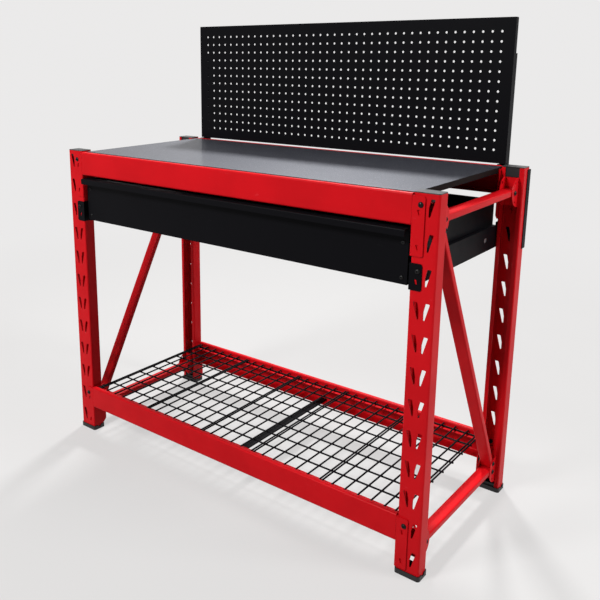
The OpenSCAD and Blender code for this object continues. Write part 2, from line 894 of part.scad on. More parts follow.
// Left side: sheet with a folded top, a foot for the bottom and a front flange
module drawer_side_part() {
  difference() {
    translate([-side_x, front_back_y, box_z0]) {
      cube([sheet_t, box_back_y - front_back_y, box_z1 - box_z0]);
      translate([0, 0, box_z1 - box_z0 - sheet_t])
        cube([box_hem, box_back_y - front_back_y, sheet_t]);
      translate([box_hem - sheet_t, front_return, box_z1 - box_z0 - box_hem])
        cube([sheet_t, box_back_y - front_back_y - front_return, box_hem]);
      translate([0, sheet_t, 0])
        cube([box_foot, box_back_y - front_back_y - 2 * sheet_t, sheet_t]);
      cube([box_flange, sheet_t, box_z1 - box_z0]);
    }
    drawer_bolt_at()
      cylinder(d = drawer_bolt_d + 2 * hole_clear, h = 12 * sheet_t, center = true, $fn = small);
  }
}

// Back: sheet between the sides, its upper edge turned in
module drawer_back_part() {
  w = 2 * (side_x - sheet_t);
  h = box_z1 - box_z0 - box_hem - sheet_t;
  translate([-w / 2, box_back_y - sheet_t, box_z0 + sheet_t]) {
    cube([w, sheet_t, h]);
    translate([0, -box_hem, h - sheet_t]) cube([w, box_hem + sheet_t, sheet_t]);
  }
}

// Bottom: sheet on the sides' feet
module drawer_bottom_part() {
  w = 2 * (side_x - sheet_t);
  d = box_back_y - front_back_y - 2 * sheet_t;
  translate([-w / 2, front_back_y + sheet_t, box_z0 + sheet_t]) cube([w, d, sheet_t]);
}

// ---------- tool board ----------

// Perforated face
module board_part() {
  translate([-board_w / 2, board_y0 + board_t, board_z0]) rotate([90, 0, 0])
    linear_extrude(height = board_t) difference() {
      rounded(board_w, board_h, board_r);
      for (i = [0 : col_n], k = [0 : row_n])
        translate([board_w / 2 + (i - col_n / 2) * hole_pitch,
          board_h / 2 + (k - row_n / 2) * hole_pitch])
          circle(d = hole_d, $fn = small);
    }
}

// Edges turned back from the face, with a return lip down each side
module board_edge_part() {
  translate([-board_w / 2, board_y1, board_z0]) rotate([90, 0, 0])
    linear_extrude(height = board_depth - board_t) difference() {
      rounded(board_w, board_h, board_r);
      translate([board_t, board_t])
        rounded(board_w - 2 * board_t, board_h - 2 * board_t, board_r - board_t);
    }
  for (m = [0, 1]) mirror([m, 0, 0]) board_lip_part();
}

// Return lip down the board's left side, drilled for the upright's screws
module board_lip_part() {
  difference() {
    translate([-board_w / 2 + board_t / 2, board_y1 - board_t, board_z0 + board_r])
      cube([board_lip, board_t, board_h - 2 * board_r]);
    for (i = [0 : board_screw_n - 1]) board_screw_at(i)
      cylinder(d = board_screw_d + 2 * hole_clear, h = 6 * upright_depth, center = true, $fn = small);
  }
}

// Left upright with the bracket that carries it on the rear post
module upright_part() {
  lower_h = upright_tail - upright_notch;
  upper_h = upright_tail + upright_h;
  difference() {
    union() {
      // Plate across the post's back and flange round its side
      translate([-bench_w / 2 - upright_t, plate_y, plate_z0])
        cube([bench_w / 2 + upright_t - upright_x1 + upright_t, upright_t, plate_z1 - plate_z0]);
      translate([-bench_w / 2 - upright_t, bench_d - plate_wrap, plate_z0])
        cube([upright_t, plate_wrap + conn_t + upright_t, plate_z1 - plate_z0]);
      // Upright, deep below the board and shallow behind it
      translate([-upright_x1, plate_y, channel_z0]) difference() {
        cube([upright_w, upright_y1 - plate_y, upper_h]);
        translate([upright_t, -cut, -cut])
          cube([upright_w - 2 * upright_t, upright_y1 - plate_y - upright_t + cut, upper_h + 2 * cut]);
        translate([-cut, -cut, lower_h])
          cube([upright_w + 2 * cut, board_y1 - plate_y + cut, upper_h]);
      }
    }
    // Bolt hole shared with the beam's connector
    translate([-inner_x - post_w / 2 + bolt_from_mid, plate_y, beam_top - bolt_drop])
      rotate([90, 0, 0])
        cylinder(d = bolt_d + 2 * hole_clear, h = 4 * upright_t, center = true, $fn = small);
    for (i = [0 : board_screw_n - 1]) board_screw_at(i) {
      cylinder(d = board_screw_d + 2 * hole_clear, h = 6 * upright_t, center = true, $fn = small);
      translate([0, 0, -board_screw_sink])
        cylinder(d1 = board_screw_d + 2 * hole_clear, d2 = board_screw_head + 2 * hole_clear,
          h = board_screw_sink, $fn = small);
    }
  }
}

// Flat-headed screw with its nut, flush with the upright's back
module board_screw() {
  difference() {
    translate([0, 0, -board_screw_sink])
      cylinder(d1 = board_screw_d, d2 = board_screw_head, h = board_screw_sink, $fn = small);
    translate([0, 0, -board_screw_sink / 2])
      cylinder(d = board_screw_d / 2, h = board_screw_sink, $fn = 6);
  }
  grip = upright_depth + board_t;
  translate([0, 0, -grip - nut_h])
    cylinder(d = board_screw_d, h = grip + nut_h - board_screw_sink, $fn = small);
  translate([0, 0, -grip - nut_h + bolt_end])
    cylinder(d = 2 * board_screw_d, h = nut_h - bolt_end, $fn = 6);
}

module board_screw_at(i) {
  step = (upright_h - 2 * board_screw_inset) / (board_screw_n - 1);
  translate([-upright_x1 + upright_w / 3, upright_y1, board_z0 + board_screw_inset + i * step])
    rotate([-90, 0, 0]) children();
}

// ---------- nodes ----------

module post_front_left() { color("#c8262e") placed() translate([-post_cx, 0, 0]) post_part(); }
module post_front_right() { color("#c8262e") placed() translate([post_cx, 0, 0]) post_part(); }
module post_rear_left() { color("#c8262e") placed() rear_post_part(-1); }
module post_rear_right() { color("#c8262e") placed() rear_post_part(1); }

module foot_front_left() { color("#202124") placed() translate([-post_cx, 0, 0]) foot_part(); }
module foot_front_right() { color("#202124") placed() translate([post_cx, 0, 0]) foot_part(); }
module foot_rear_left() { color("#202124") placed() at_rear() translate([post_cx, 0, 0]) foot_part(); }
module foot_rear_right() { color("#202124") placed() at_rear() translate([-post_cx, 0, 0]) foot_part(); }
module post_caps() {
  color("#202124") placed() for (x = [-post_cx, post_cx]) {
    translate([x, 0, 0]) cap_part();
    at_rear() translate([x, 0, 0]) cap_part();
  }
}

module beam_front_upper() { color("#c8262e") placed() beam_part(beam_top); }
module beam_front_lower() { color("#c8262e") placed() beam_part(lower_top); }
module beam_rear_upper() { color("#c8262e") placed() at_rear() beam_part(beam_top); }
module beam_rear_lower() { color("#c8262e") placed() at_rear() beam_part(lower_top); }

module connector_front_upper_left() { color("#c8262e") placed() connector_part(beam_top); }
module connector_front_upper_right() { color("#c8262e") placed() mirrored() connector_part(beam_top); }
module connector_front_lower_left() { color("#c8262e") placed() connector_part(lower_top); }
module connector_front_lower_right() { color("#c8262e") placed() mirrored() connector_part(lower_top); }
module connector_rear_upper_left() {
  color("#c8262e") placed() at_rear() mirrored() connector_part(beam_top);
}
module connector_rear_upper_right() { color("#c8262e") placed() at_rear() connector_part(beam_top); }
module connector_rear_lower_left() {
  color("#c8262e") placed() at_rear() mirrored() connector_part(lower_top);
}
module connector_rear_lower_right() { color("#c8262e") placed() at_rear() connector_part(lower_top); }

module beam_bolts() {
  color("#202124") placed() for (m = [0, 1]) mirror([m, 0, 0]) {
    beam_bolt(beam_top, 0);
    beam_bolt(lower_top, 0);
    at_rear() beam_bolt(beam_top, upright_t);
    at_rear() beam_bolt(lower_top, 0);
  }
}

module brace_upper_left() { color("#c8262e") placed() strut_part(brace_hi); }
module brace_upper_right() { color("#c8262e") placed() mirrored() strut_part(brace_hi); }
module brace_lower_left() { color("#c8262e") placed() strut_part(brace_low); }
module brace_lower_right() { color("#c8262e") placed() mirrored() strut_part(brace_low); }
module diagonal_right() { color("#c8262e") placed() diagonal_part(); }
module diagonal_left() { color("#c8262e") placed() at_rear() diagonal_part(); }
module brace_forks_left() { color("#c8262e") placed() forks_left(); }
module brace_forks_right() { color("#c8262e") placed() mirrored() forks_left(); }
module brace_bolts() {
  color("#202124") placed() {
    brace_bolts_of(diag_z0, diag_z1);
    mirrored() brace_bolts_of(diag_z1, diag_z0);
  }
}

module worktop() { color("#3a3a3c") placed() worktop_part(); }
module shelf_long_wires() { color("#202124") placed() long_wires(); }
module shelf_cross_wires() { color("#202124") placed() cross_wires(); }
module shelf_bar() { color("#202124") placed() tie_bar(); }

module drawer_rail_left() { color("#202124") placed() rail_part(); }
module drawer_rail_right() { color("#202124") placed() mirrored() rail_part(); }
module rail_bolts() {
  color("#202124") placed() for (m = [0, 1]) mirror([m, 0, 0]) rail_fasteners();
}
module slide_outer_left() { color("silver") placed() slide_outer_part(); }
module slide_outer_right() { color("silver") placed() mirrored() slide_outer_part(); }
module slide_middle_left() { color("silver") placed() slide_middle_part(); }
module slide_middle_right() { color("silver") placed() mirrored() slide_middle_part(); }
module slide_inner_left() { color("silver") placed() slide_inner_part(); }
module slide_inner_right() { color("silver") placed() mirrored() slide_inner_part(); }

module drawer_front() { color("#202124") placed() drawer_front_part(); }
module drawer_pull() { color("#202124") placed() pull_part(); }
module drawer_side_left() { color("#202124") placed() drawer_side_part(); }
module drawer_side_right() { color("#202124") placed() mirrored() drawer_side_part(); }
module drawer_back() { color("#202124") placed() drawer_back_part(); }
module drawer_bottom() { color("#202124") placed() drawer_bottom_part(); }
module drawer_bolts() {
  color("#202124") placed() for (m = [0, 1]) mirror([m, 0, 0]) drawer_bolt_at()
    bolt(2 * sheet_t, drawer_bolt_d, drawer_head_d, drawer_head_h);
}

module tool_board() { color("#202124") placed() board_part(); }
module board_edges() { color("#202124") placed() board_edge_part(); }
module board_upright_left() { color("#202124") placed() upright_part(); }
module board_upright_right() { color("#202124") placed() mirrored() upright_part(); }
module board_screws() {
  color("#202124") placed() for (m = [0, 1], i = [0 : board_screw_n - 1])
    mirror([m, 0, 0]) board_screw_at(i) board_screw();
}

post_front_left();
post_front_right();
post_rear_left();
post_rear_right();
foot_front_left();
foot_front_right();
foot_rear_left();
foot_rear_right();
post_caps();
beam_front_upper();
beam_front_lower();
beam_rear_upper();
beam_rear_lower();
connector_front_upper_left();
connector_front_upper_right();
connector_front_lower_left();
connector_front_lower_right();
connector_rear_upper_left();
connector_rear_upper_right();
connector_rear_lower_left();
connector_rear_lower_right();
beam_bolts();
brace_upper_left();
brace_upper_right();
brace_lower_left();
brace_lower_right();
diagonal_left();
diagonal_right();
brace_forks_left();
brace_forks_right();
brace_bolts();
worktop();
shelf_long_wires();
shelf_cross_wires();
shelf_bar();
drawer_rail_left();
drawer_rail_right();
rail_bolts();
slide_outer_left();
slide_outer_right();
slide_middle_left();
slide_middle_right();
slide_inner_left();
slide_inner_right();
drawer_front();
drawer_pull();
drawer_side_left();
drawer_side_right();
drawer_back();
drawer_bottom();
drawer_bolts();
tool_board();
board_edges();
board_upright_left();
board_upright_right();
board_screws();
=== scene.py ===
"""Finishes, fastenings and studio for a bolted steel workbench.

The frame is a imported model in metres: +X to the user's right, -Y towards the
user, +Z up. Every finish is procedural, and what repeats is grown by node
trees that end as plain meshes.
"""

import json
import math

import bmesh
import bpy
from bpy.props import FloatProperty, FloatVectorProperty, IntProperty, PointerProperty
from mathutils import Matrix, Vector

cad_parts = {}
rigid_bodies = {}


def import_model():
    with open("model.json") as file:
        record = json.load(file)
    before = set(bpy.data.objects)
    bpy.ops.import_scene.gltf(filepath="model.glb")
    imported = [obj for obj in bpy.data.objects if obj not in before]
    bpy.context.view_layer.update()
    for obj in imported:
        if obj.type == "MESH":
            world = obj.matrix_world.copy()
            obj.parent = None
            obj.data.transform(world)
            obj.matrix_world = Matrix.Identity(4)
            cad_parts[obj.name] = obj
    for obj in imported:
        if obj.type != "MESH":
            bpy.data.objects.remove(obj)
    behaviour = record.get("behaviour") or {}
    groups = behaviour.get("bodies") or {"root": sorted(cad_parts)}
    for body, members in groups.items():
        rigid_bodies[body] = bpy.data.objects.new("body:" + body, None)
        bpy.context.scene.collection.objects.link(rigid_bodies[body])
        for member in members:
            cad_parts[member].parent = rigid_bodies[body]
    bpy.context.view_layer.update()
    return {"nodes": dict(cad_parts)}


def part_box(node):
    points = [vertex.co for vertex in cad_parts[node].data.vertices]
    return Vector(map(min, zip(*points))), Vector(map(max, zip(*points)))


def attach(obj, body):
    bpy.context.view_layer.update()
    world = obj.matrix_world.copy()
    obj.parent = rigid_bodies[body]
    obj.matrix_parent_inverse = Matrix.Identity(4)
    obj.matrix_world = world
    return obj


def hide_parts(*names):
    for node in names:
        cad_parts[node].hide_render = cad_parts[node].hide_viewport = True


bl_info = {
    "name": "Steel workbench",
    "version": (1, 0, 0),
    "blender": (4, 5, 0),
    "location": "View3D > Sidebar > Workbench",
    "description": "Dresses a bolted workbench in powder coat, laminate and zinc",
    "category": "Object",
}

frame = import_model()
NODES = frame["nodes"]
BACKDROP = (0.83, 0.822, 0.82, 1.0)
FLOOR_GLOW = (0.93, 0.92, 0.915, 1.0)
GLOW_SHARE = 0.6  # How much of the floor's seen colour is its glow
FLOOR_SIZE = 30.0
FADE_FROM, FADE_TO = 1.3, 3.4  # Where the floor turns into the backdrop, in metres
FINISHES = {}
X, Y = 0, 1


# ---------------------------------------------------------------- shader maths


class Wire:
    """A socket that takes part in plain arithmetic."""

    def __init__(self, tree, socket):
        self.tree = tree
        self.socket = socket

    def _math(self, operation, other, swap=False):
        """A maths node on this wire and another wire or number."""
        a, b = (other, self) if swap else (self, other)
        return self.tree.add(
            "ShaderNodeMath", {"operation": operation}, {0: a, 1: b}
        )["Value"]

    def __add__(self, other):
        return self._math("ADD", other)

    __radd__ = __add__

    def __rsub__(self, other):
        return self._math("SUBTRACT", other, swap=True)

    def __mul__(self, other):
        return self._math("MULTIPLY", other)

    __rmul__ = __mul__

    def maximum(self, other):
        return self._math("MAXIMUM", other)

    def step(self, low, high):
        """0 below low, 1 above high, smooth between."""
        return self.tree.add(
            "ShaderNodeMapRange",
            {"interpolation_type": "SMOOTHSTEP", "clamp": True},
            {"Value": self, "From Min": low, "From Max": high},
        )["Result"]


class Graph:
    """A shader tree under construction, where one method adds every node."""

    def __init__(self, tree):
        self.tree = tree
        tree.nodes.clear()

    def add(self, kind, settings=None, values=None):
        """Adds a node: its settings first, then values or links by socket."""
        node = self.tree.nodes.new(kind)
        for key, value in (settings or {}).items():
            setattr(node, key, value)
        for key, value in (values or {}).items():
            self.feed(node.inputs[key], value)
        return {o.name: Wire(self, o) for o in node.outputs if o.enabled}

    def feed(self, socket, value):
        """Links a wire to a socket, or sets a constant on it."""
        if isinstance(value, Wire):
            self.tree.links.new(value.socket, socket)
        else:
            socket.default_value = value

    def blend(self, share, first, second):
        """Mixes two shaders."""
        return self.add("ShaderNodeMixShader", None, {0: share, 1: first, 2: second})["Shader"]

    def seen(self):
        """1 for the rays that see the backdrop, 0 for those that only light."""
        rays = self.add("ShaderNodeLightPath")
        seen = rays["Is Camera Ray"].maximum(rays["Is Glossy Ray"])
        return seen.maximum(rays["Is Transmission Ray"])


class Finish(Graph):
    """A material under construction."""

    def __init__(self, name):
        self.material = bpy.data.materials.new(name)
        self.material.use_nodes = True
        super().__init__(self.material.node_tree)
        self.shader = self.tree.nodes.new("ShaderNodeBsdfPrincipled")
        self.out = self.tree.nodes.new("ShaderNodeOutputMaterial")
        self.tree.links.new(self.shader.outputs[0], self.out.inputs[0])
        self.place = self.add("ShaderNodeTexCoord")["Object"]

    def noise(self, scale, detail=2.0, roughness=0.5, place=None):
        return self.add(
            "ShaderNodeTexNoise", None,
            {"Vector": place or self.place, "Scale": scale, "Detail": detail,
             "Roughness": roughness},
        )["Fac"]

    def stretched(self, scale):
        """The object's own coordinates, scaled along each axis."""
        return self.add(
            "ShaderNodeMapping", {"vector_type": "POINT"},
            {"Vector": self.place, "Scale": scale},
        )["Vector"]

    def mix(self, factor, a, b):
        return self.add(
            "ShaderNodeMix", {"data_type": "RGBA"}, {"Factor": factor, "A": a, "B": b}
        )["Result"]

    def bump(self, height, strength, distance):
        return self.add(
            "ShaderNodeBump", None,
            {"Height": height, "Strength": strength, "Distance": distance},
        )["Normal"]

    def set(self, **values):
        """Sets the surface shader's sockets, by name with underscores."""
        for key, value in values.items():
            self.feed(self.shader.inputs[key.replace("_", " ")], value)


def rgba(colour, share=1.0):
    """A colour, darker or paler by a share, as a shader socket takes it."""
    return (*(c * share for c in colour), 1.0)


def powder_coat(name, colour, pale, gloss, shine, peel):
    """Powder coat: orange peel, faint mottling, a few scuffs that dull it."""
    f = Finish(name)
    mottle = f.noise(9.0, 3.0).step(0.3, 0.7)
    fine = f.noise(520.0, 2.0)
    wave = f.noise(190.0, 3.0, 0.6)
    scuff = f.noise(38.0, 6.0, 0.7, f.stretched((1.0, 1.0, 3.0))).step(0.62, 0.74)
    worn = f.mix(scuff, rgba(colour), rgba(pale))
    f.set(
        Base_Color=f.mix(mottle, worn, rgba(colour, 0.9)),
        Roughness=gloss + 0.08 * mottle + 0.06 * fine + 0.12 * scuff,
        Specular_IOR_Level=shine,
        Normal=f.bump(wave + 0.35 * fine, peel, 0.0005),
    )
    return f.material


def moulded_plastic(name, colour):
    """Matte moulding with spark texture and scuffs."""
    f = Finish(name)
    spark = f.noise(900.0, 2.0)
    scuff = f.noise(26.0, 5.0, 0.65).step(0.52, 0.72)
    f.set(
        Base_Color=f.mix(scuff, rgba(colour), rgba(colour, 1.9)),
        Roughness=0.40 + 0.12 * spark + 0.1 * scuff,
        Specular_IOR_Level=0.4,
        Normal=f.bump(spark, 0.25, 0.0004),
    )
    return f.material


def laminate(name, colour, fleck):
    """Speckled laminate: pale flecks in clusters under a broad, cool sheen."""
    f = Finish(name)
    cell = f.add(
        "ShaderNodeTexVoronoi", {"feature": "F1"}, {"Vector": f.place, "Scale": 330.0}
    )["Distance"]
    patch = f.noise(180.0, 2.0).step(0.46, 0.58)
    pale = (1.0 - cell.step(0.14, 0.34)) * patch
    grain = f.noise(700.0, 2.0)
    cloud = f.noise(5.0, 3.0)
    ground = f.mix(cloud, rgba(colour, 0.85), rgba(colour, 1.15))
    f.set(
        Base_Color=f.mix(pale, ground, rgba(fleck)),
        Roughness=0.46 + 0.08 * grain + 0.06 * cloud,
        Specular_IOR_Level=0.62,
        Specular_Tint=(0.78, 0.82, 1.0, 1.0),
        Coat_Weight=0.14 + 0.08 * cloud,
        Coat_Roughness=0.14,
        Normal=f.bump(grain + 2.0 * f.noise(260.0, 2.0), 0.22, 0.0006),
    )
    return f.material


def pressed_edge(name, colour):
    """Dark band round the worktop with the lie of the pressed wood in it."""
    f = Finish(name)
    fibre = f.noise(90.0, 4.0, 0.6, f.stretched((0.2, 0.2, 6.0)))
    f.set(
        Base_Color=f.mix(fibre, rgba(colour, 0.7), rgba(colour, 1.4)),
        Roughness=0.55 + 0.12 * fibre,
        Specular_IOR_Level=0.06,
        Normal=f.bump(fibre, 0.2, 0.0004),
    )
    return f.material


def zinc(name, colour):
    """Bright zinc with drawn lines along the slide."""
    f = Finish(name)
    lines = f.noise(60.0, 3.0, 0.6, f.stretched((6.0, 0.15, 26.0)))
    bloom = f.noise(34.0, 4.0).step(0.4, 0.75)
    f.set(
        Base_Color=f.mix(bloom, rgba(colour), rgba(colour, 0.8)),
        Metallic=1.0,
        Roughness=0.26 + 0.14 * lines + 0.1 * bloom,
        Normal=f.bump(lines, 0.12, 0.0003),
    )
    return f.material


def dark_bolt(name, colour):
    """Blackened steel with rubbed high spots."""
    f = Finish(name)
    pits = f.noise(700.0, 3.0)
    rub = f.noise(180.0, 4.0).step(0.5, 0.7)
    f.set(
        Base_Color=f.mix(rub, rgba(colour), rgba(colour, 1.8)),
        Roughness=0.22 + 0.10 * pits,
        Specular_IOR_Level=0.16,
        Normal=f.bump(pits, 0.18, 0.0003),
    )
    return f.material


# ---------------------------------------------------------------- node trees


class Sprout:
    """A geometry node tree with named inputs, and the object that carries it."""

    def __init__(self, name, sizes):
        self.tree = bpy.data.node_groups.new(name, "GeometryNodeTree")
        self.ids = {}
        face = self.tree.interface
        face.new_socket("Geometry", in_out="INPUT", socket_type="NodeSocketGeometry")
        for label, kind in sizes.items():
            item = face.new_socket(label, in_out="INPUT", socket_type=kind)
            self.ids[label] = item.identifier
        face.new_socket("Geometry", in_out="OUTPUT", socket_type="NodeSocketGeometry")
        self.entry = self.tree.nodes.new("NodeGroupInput")
        self.exit = self.tree.nodes.new("NodeGroupOutput")

    def size(self, label):
        return self.entry.outputs[label]

    def add(self, kind, settings=None, values=None):
        node = self.tree.nodes.new(kind)
        for key, value in (settings or {}).items():
            setattr(node, key, value)
        for key, value in (values or {}).items():
            socket = node.inputs[key]
            if isinstance(value, bpy.types.NodeSocket):
                self.tree.links.new(value, socket)
            elif isinstance(value, list):
                for part in value:
                    self.tree.links.new(part, socket)
            else:
                socket.default_value = value
        return node

    def calc(self, operation, a, b):
        return self.add("ShaderNodeMath", {"operation": operation}, {0: a, 1: b}).outputs[0]

    def vector(self, x, y, z):
        return self.add("ShaderNodeCombineXYZ", None, {"X": x, "Y": y, "Z": z}).outputs[0]

    def facing(self):
        """Turns +Z to the seed's own direction."""
        way = self.add(
            "GeometryNodeInputNamedAttribute", {"data_type": "FLOAT_VECTOR"},
            {"Name": "facing"},
        )
        turn = self.add(
            "FunctionNodeAlignRotationToVector", {"axis": "Z"}, {"Vector": way.outputs[0]}
        )
        return turn.outputs[0]

    def close(self, geometry, angle):
        """Ends the tree: real geometry, creases past the angle, one finish."""
        real = self.add("GeometryNodeRealizeInstances", None, {"Geometry": geometry})
        bend = self.add("GeometryNodeInputMeshEdgeAngle")
        crease = self.add(
            "FunctionNodeCompare", {"data_type": "FLOAT", "operation": "LESS_THAN"},
            {0: bend.outputs[0], 1: math.radians(angle)},
        )
        faces = self.add(
            "GeometryNodeSetShadeSmooth", {"domain": "FACE"},
            {"Geometry": real.outputs[0], "Shade Smooth": True},
        )
        real = self.add(
            "GeometryNodeSetShadeSmooth", {"domain": "EDGE"},
            {"Geometry": faces.outputs[0], "Shade Smooth": crease.outputs[0]},
        )
        coat = self.add(
            "GeometryNodeSetMaterial", None,
            {"Geometry": real.outputs[0], "Material": self.size("Finish")},
        )
        self.tree.links.new(coat.outputs[0], self.exit.inputs[0])

    def grow(self, name, lines, values, marks=None):
        """Runs the tree on seed points or lines and returns a plain mesh object."""
        points, edges = [], []
        for line in lines:
            start = len(points)
            points.extend(line)
            edges.extend((start + i, start + i + 1) for i in range(len(line) - 1))
        mesh = bpy.data.meshes.new(name + "_seeds")
        mesh.from_pydata(points, edges, [])
        for label, (kind, data) in (marks or {}).items():
            mark = mesh.attributes.new(label, kind, "POINT")
            if kind == "FLOAT_VECTOR":
                mark.data.foreach_set("vector", [v for item in data for v in item])
            else:
                mark.data.foreach_set("value", data)
        carrier = bpy.data.objects.new(name + "_carrier", mesh)
        bpy.context.scene.collection.objects.link(carrier)
        modifier = carrier.modifiers.new("grow", "NODES")
        modifier.node_group = self.tree
        for label, value in values.items():
            modifier[self.ids[label]] = value
        bpy.context.view_layer.update()
        depsgraph = bpy.context.evaluated_depsgraph_get()
        grown = bpy.data.meshes.new_from_object(carrier.evaluated_get(depsgraph))
        bpy.data.objects.remove(carrier)
        for label in marks or {}:
            if label in grown.attributes:
                grown.attributes.remove(grown.attributes[label])
        piece = bpy.data.objects.new(name, grown)
        bpy.context.scene.collection.objects.link(piece)
        return piece


def weld_tree():
    """Flattened nugget on each point."""
    weld = Sprout(
        "Weld nuggets", {"Width": "NodeSocketFloat", "Finish": "NodeSocketMaterial"}
    )
    half = weld.calc("MULTIPLY", weld.size("Width"), 0.5)
    nugget = weld.add(
        "GeometryNodeMeshUVSphere", None, {"Segments": 8, "Rings": 5, "Radius": half}
    )
    flat = weld.add(
        "GeometryNodeTransform", None,
        {"Geometry": nugget.outputs[0], "Scale": (1.0, 1.0, 0.55)},
    )
    spread = weld.add(
        "GeometryNodeInstanceOnPoints", None,
        {"Points": weld.size("Geometry"), "Instance": flat.outputs[0]},
    )
    weld.close(spread.outputs[0], 80.0)
    return weld


def loose_parts(node):
    """Low and high corner of each separate solid of a node."""
    mesh = NODES[node].data
    root = {}

    def find(a):
        while root[a] != a:
            root[a] = root[root[a]]
            a = root[a]
        return a

    key = [tuple(round(c, 5) for c in v.co) for v in mesh.vertices]
    for k in key:
        root.setdefault(k, k)
    for polygon in mesh.polygons:
        first = find(key[polygon.vertices[0]])
        for index in polygon.vertices[1:]:
            root[find(key[index])] = first
    groups = {}
    for k in set(key):
        groups.setdefault(find(k), []).append(k)
    parts = []
    for points in groups.values():
        low = Vector([min(p[i] for p in points) for i in range(3)])
        high = Vector([max(p[i] for p in points) for i in range(3)])
        parts.append((low, high))
    return sorted(parts, key=lambda c: tuple(round(v, 4) for v in c[0]))


def paint(material, *nodes):
    """Gives CAD nodes a finish."""
    for node in nodes:
        slots = NODES[node].material_slots
        if not slots:
            NODES[node].data.materials.append(material)
        for slot in NODES[node].material_slots:
            slot.material = material


def nodes_like(*starts):
    return [n for n in sorted(NODES) if n.startswith(starts)]


MERGE_DISTANCE = 1e-6
FLAT_ANGLE = math.radians(1.0)
SHARP_ANGLE = math.radians(35.0)


def bevelled(name, node, width):
    """A merged copy of a node with its sharp edges broken."""
    work = bmesh.new()
    work.from_mesh(NODES[node].data)
    bmesh.ops.remove_doubles(work, verts=work.verts, dist=MERGE_DISTANCE)
    bmesh.ops.dissolve_limit(
        work, angle_limit=FLAT_ANGLE, verts=work.verts, edges=work.edges
    )
    sharp = [e for e in work.edges if e.calc_face_angle(0.0) > SHARP_ANGLE]
    bmesh.ops.bevel(
        work, geom=sharp, offset=width, segments=3, profile=0.5,
        affect="EDGES", clamp_overlap=True,
    )
    bmesh.ops.recalc_face_normals(work, faces=work.faces)
    mesh = bpy.data.meshes.new(name)
    work.to_mesh(mesh)
    work.free()
    piece = bpy.data.objects.new(name, mesh)
    bpy.context.scene.collection.objects.link(piece)
    return piece


# A beam's weld: how far it stops short of the beam's corners, in metres, and
# its ripples' spacing and its place past the beam's end, as shares of its width
SEAM_END = 0.008
RIPPLE = 0.42
SEAM_OUT = 0.25

# Heads, shanks, nuts and key recesses, in metres
M6 = {
    "head_w": 0.013, "head_h": 0.0045, "shank": 0.006, "nut": 0.01155, "nut_h": 0.005,
    "key": 0.005, "key_h": 0.002,
}
M5 = {
    "head_w": 0.0105, "head_h": 0.003, "shank": 0.005, "nut": 0.01155, "nut_h": 0.005,
    "key": 0.0044, "key_h": 0.0014,
}
RAIL_SCREW = {
    "head_w": 0.010, "head_h": 0.0026, "shank": 0.005, "nut": 0.01155, "nut_h": 0.005,
    "key": 0.0042, "key_h": 0.0012,
}

# Piece, the node that it stands for, its body, and its bolts' size and axis
BOLTS = (
    ("frame_bolts", "beam_bolts", "frame", M6, Y),
    ("end_frame_bolts", "brace_bolts", "frame", M6, X),
    ("rail_tab_bolts", "rail_bolts", "frame", M6, Y),
    ("rail_end_screws", "rail_bolts", "frame", RAIL_SCREW, X),
    ("drawer_front_bolts", "drawer_bolts", "drawer", M5, Y),
)

# ---------------------------------------------------------------- settings


class BenchFinishes(bpy.types.PropertyGroup):
    """Colours and gloss of the bench's finishes."""

    red: FloatVectorProperty(
        name="Red coat", description="Powder coat of posts, beams and braces",
        subtype="COLOR", size=3, min=0, max=1, default=(0.58, 0.005, 0.0095),
    )
    red_gloss: FloatProperty(
        name="Red roughness", description="Roughness of the red powder coat",
        default=0.30, min=0.05, max=0.9, subtype="FACTOR",
    )
    black: FloatVectorProperty(
        name="Black coat", description="Powder coat of drawer, rails and tool board",
        subtype="COLOR", size=3, min=0, max=1, default=(0.0034, 0.0033, 0.0044),
    )
    black_gloss: FloatProperty(
        name="Black roughness", description="Roughness of the black powder coat",
        default=0.36, min=0.05, max=0.9, subtype="FACTOR",
    )
    top: FloatVectorProperty(
        name="Worktop", description="Ground colour of the speckled laminate",
        subtype="COLOR", size=3, min=0, max=1, default=(0.0055, 0.006, 0.009),
    )
    plastic: FloatVectorProperty(
        name="Plastic", description="Moulded feet and post caps",
        subtype="COLOR", size=3, min=0, max=1, default=(0.006, 0.006, 0.0065),
    )
    zinc: FloatVectorProperty(
        name="Zinc", description="Plated drawer slides",
        subtype="COLOR", size=3, min=0, max=1, default=(0.62, 0.63, 0.65),
    )


class BenchSizes(bpy.types.PropertyGroup):
    """Sizes of what the node trees grow."""

    weld_width: FloatProperty(
        name="Weld width", description="Width of the weld nugget where two wires cross",
        default=0.0052, min=0.003, max=0.01, unit="LENGTH",
    )
    seam_width: FloatProperty(
        name="Seam width", description="Width of the weld down a beam's end",
        default=0.0026, min=0.002, max=0.004, unit="LENGTH",
    )
    bolt_end: FloatProperty(
        name="Bolt end", description="Thread that stands past a nut",
        default=0.001, min=0.0, max=0.004, unit="LENGTH",
    )
    wire_sides: IntProperty(
        name="Wire sides", description="Faces round a shelf wire", default=12, min=6, max=24,
    )
    top_edge: FloatProperty(
        name="Worktop edge", description="Width of the broken edge round the worktop",
        default=0.0008, min=0.0002, max=0.002, unit="LENGTH",
    )


# ---------------------------------------------------------------- operators


